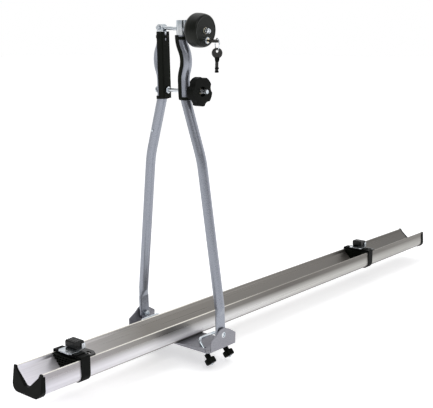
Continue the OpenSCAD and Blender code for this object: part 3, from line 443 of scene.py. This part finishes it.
def revolve(profile):
    """Closed surface of revolution about Z from a closed profile of (radius, height) points."""
    bm = bmesh.new()
    rings = [add_turned_row(bm, 2 * math.pi * i / RING_STEPS, profile) for i in range(RING_STEPS)]
    for near, far in zip(rings, rings[1:] + rings[:1]):
        add_band(bm, near, far)
    return bm


def helix(radius, length, pitch, depth):
    """Thread crest about Z from the origin: a ridge of triangular section that fades at both ends."""
    bm = bmesh.new()
    steps = int(THREAD_SIDES * length / pitch)
    foot = pitch * CREST_HALF
    rows = []
    for i in range(steps + 1):
        z = pitch * i / THREAD_SIDES
        fade = min(1.0, i / THREAD_SIDES, (steps - i) / THREAD_SIDES)
        section = ((radius - depth, z - foot), (radius + depth * fade, z), (radius - depth, z + foot))
        rows.append(add_turned_row(bm, 2 * math.pi * i / THREAD_SIDES, section))
    add_bar(bm, rows)
    return bm


def along_minus_y(bm, x, y, z):
    """Turns what was drawn along Z to point along -Y from a place."""
    bm.transform(Matrix.Translation((x, y, z)) @ Matrix.Rotation(math.pi / 2, 4, "X"))
    return bm


def add_knob_details():
    x, _, z = joint_place("hand_knob_turn")
    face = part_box("hand_knob_insert")[0].y
    wall = RING_GAP + RING_WALL
    top = RING_GAP + RING_T
    profile = [(RING_IN, RING_GAP), (RING_OUT, RING_GAP), (RING_OUT, wall), (RING_OUT - RING_CHAMFER, top),
               (RING_IN + RING_CHAMFER, top), (RING_IN, wall)]
    ring = along_minus_y(revolve(profile), x, face, z)
    add_piece("hand_knob_ring", ring, "hand_knob", "black_plastic", smooth=False)
    start = face - top
    length = start - THREAD_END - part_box("clamp_bolt")[0].y
    crest = helix(BOLT_R, length, THREAD_PITCH, THREAD_DEPTH)
    thread = along_minus_y(crest, x, start - THREAD_END / 2, z)
    add_piece("clamp_bolt_thread", thread, node_body("clamp_bolt"), "zinc")


def key_frame(node):
    """Matrix at a key's middle, with X across it, Y through it and Z to its tip, and the tip's Z."""
    points = np.array([v.co for v in nodes[node].data.vertices])
    middle = (points.max(axis=0) + points.min(axis=0)) / 2
    _, _, axes = np.linalg.svd(points - points.mean(axis=0), full_matrices=False)
    long_axis, wide_axis, thin_axis = (Vector(axis) for axis in axes)
    reach = (points - middle) @ np.array(long_axis)
    wide = (points - middle) @ np.array(wide_axis)
    # The head is the wider end
    if np.ptp(wide[reach > 0.0]) > np.ptp(wide[reach < 0.0]):
        long_axis = -long_axis
        reach = -reach
    place = Matrix((wide_axis, thin_axis, long_axis)).transposed().to_4x4()
    place.translation = Vector(middle)
    return place, float(reach.max())


def add_lump(bm, start, length, half_start, half_end, half_thin):
    """Bar of rectangular section along Z, with ends drawn in."""
    rows = []
    for share, grow in LUMP_ROWS:
        half = (half_start + (half_end - half_start) * share) * grow
        thin = half_thin * grow
        corners = ((-half, -thin), (half, -thin), (half, thin), (-half, thin))
        rows.append([bm.verts.new((x, y, start + length * share)) for x, y in corners])
    add_bar(bm, rows)


def add_key_details():
    node = "spare_key"
    place, tip = key_frame(node)
    bm = bmesh.new()
    for before_tip, *sizes in KEY_LUMPS:
        add_lump(bm, tip - before_tip, *sizes)
    bm.transform(place)
    piece = add_piece("spare_key_shoulders", bm, node_body(node), "black_plastic")
    bevel = piece.modifiers.new("rounding", "BEVEL")
    bevel.width = LUMP_ROUNDING
    bevel.segments = LUMP_ROUNDING_STEPS


def seen_ray(tree):
    """1 for rays from the camera, from gloss and through glass, and 0 for the rest."""
    path = tree.nodes.new("ShaderNodeLightPath")
    total = path.outputs["Is Camera Ray"]
    for name in ("Is Glossy Ray", "Is Transmission Ray"):
        total = math_node(tree, "MAXIMUM", total, path.outputs[name])
    return total


def add_floor():
    low = min(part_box(name)[0].z for name in nodes) - FLOOR_GAP
    half = FLOOR_SIZE / 2
    corners = [(-half, -half, low), (half, -half, low), (half, half, low), (-half, half, low)]
    mesh = bpy.data.meshes.new("floor")
    mesh.from_pydata(corners, [], [(0, 1, 2, 3)])
    floor = add_object("floor", mesh)
    shader = Shader("floor", color=(0.93, 0.93, 0.94), rough=0.8, specular=0.1)
    shader.color(shader.ramp(shader.noise(scale=2.0, detail=2.0), FLOOR_COLOR))
    tree = shader.tree
    glow = shader.node("ShaderNodeEmission")
    shader.link(math_node(tree, "MULTIPLY", seen_ray(tree), FLOOR_GLOW), glow.inputs["Strength"])
    both = shader.node("ShaderNodeAddShader")
    shader.link(shader.bsdf.outputs[0], both.inputs[0])
    shader.link(glow.outputs[0], both.inputs[1])
    shader.link(both.outputs[0], tree.nodes["Material Output"].inputs["Surface"])
    mesh.materials.append(shader.mat)


def add_light(name, where, towards, size, power, color):
    data = bpy.data.lights.new(name, "AREA")
    data.shape = "RECTANGLE"
    data.size, data.size_y = size
    data.energy = power
    data.color = color
    lamp = add_object(name, data)
    lamp.location = where
    lamp.rotation_euler = (Vector(towards) - Vector(where)).to_track_quat("-Z", "Y").to_euler()


def add_world():
    """White backdrop behind the part and darker room behind the camera, which sees white all round."""
    world = bpy.data.worlds.new("studio")
    bpy.context.scene.world = world
    world.use_nodes = True
    tree = world.node_tree
    background = tree.nodes["Background"]
    background.inputs["Color"].default_value = (1.0, 1.0, 1.0, 1.0)
    where = tree.nodes.new("ShaderNodeTexCoord")
    yaw = math.radians(CAMERA_YAW_DEG)
    along = tree.nodes.new("ShaderNodeVectorMath")
    along.operation = "DOT_PRODUCT"
    along.inputs[1].default_value = (math.cos(yaw), math.sin(yaw), 0.0)
    tree.links.new(where.outputs["Generated"], along.inputs[0])
    shade = range_node(tree, along.outputs["Value"], *ROOM_EDGE, ROOM, BACKDROP)
    shade.interpolation_type = "SMOOTHSTEP"
    path = tree.nodes.new("ShaderNodeLightPath")
    strength = math_node(tree, "MAXIMUM", shade.outputs["Result"], path.outputs["Is Camera Ray"])
    tree.links.new(strength, background.inputs["Strength"])


def add_camera():
    data = bpy.data.cameras.new("camera")
    data.sensor_fit = "HORIZONTAL"
    data.sensor_width = SENSOR_MM
    data.lens = FOCAL_PX * SENSOR_MM / PHOTO_WIDTH_PX
    data.clip_start, data.clip_end = CAMERA_CLIP
    camera = add_object("camera", data)
    camera.location = CAMERA_AT
    camera.rotation_euler = (math.radians(QUARTER_DEG + CAMERA_PITCH_DEG), math.radians(CAMERA_ROLL_DEG),
                             math.radians(CAMERA_YAW_DEG - QUARTER_DEG))
    bpy.context.scene.camera = camera


dress_nodes()
add_knob_details()
add_key_details()
add_floor()
add_world()
for lamp in LAMPS:
    add_light(*lamp)
add_camera()

scene = bpy.context.scene
scene.view_settings.view_transform = "Standard"
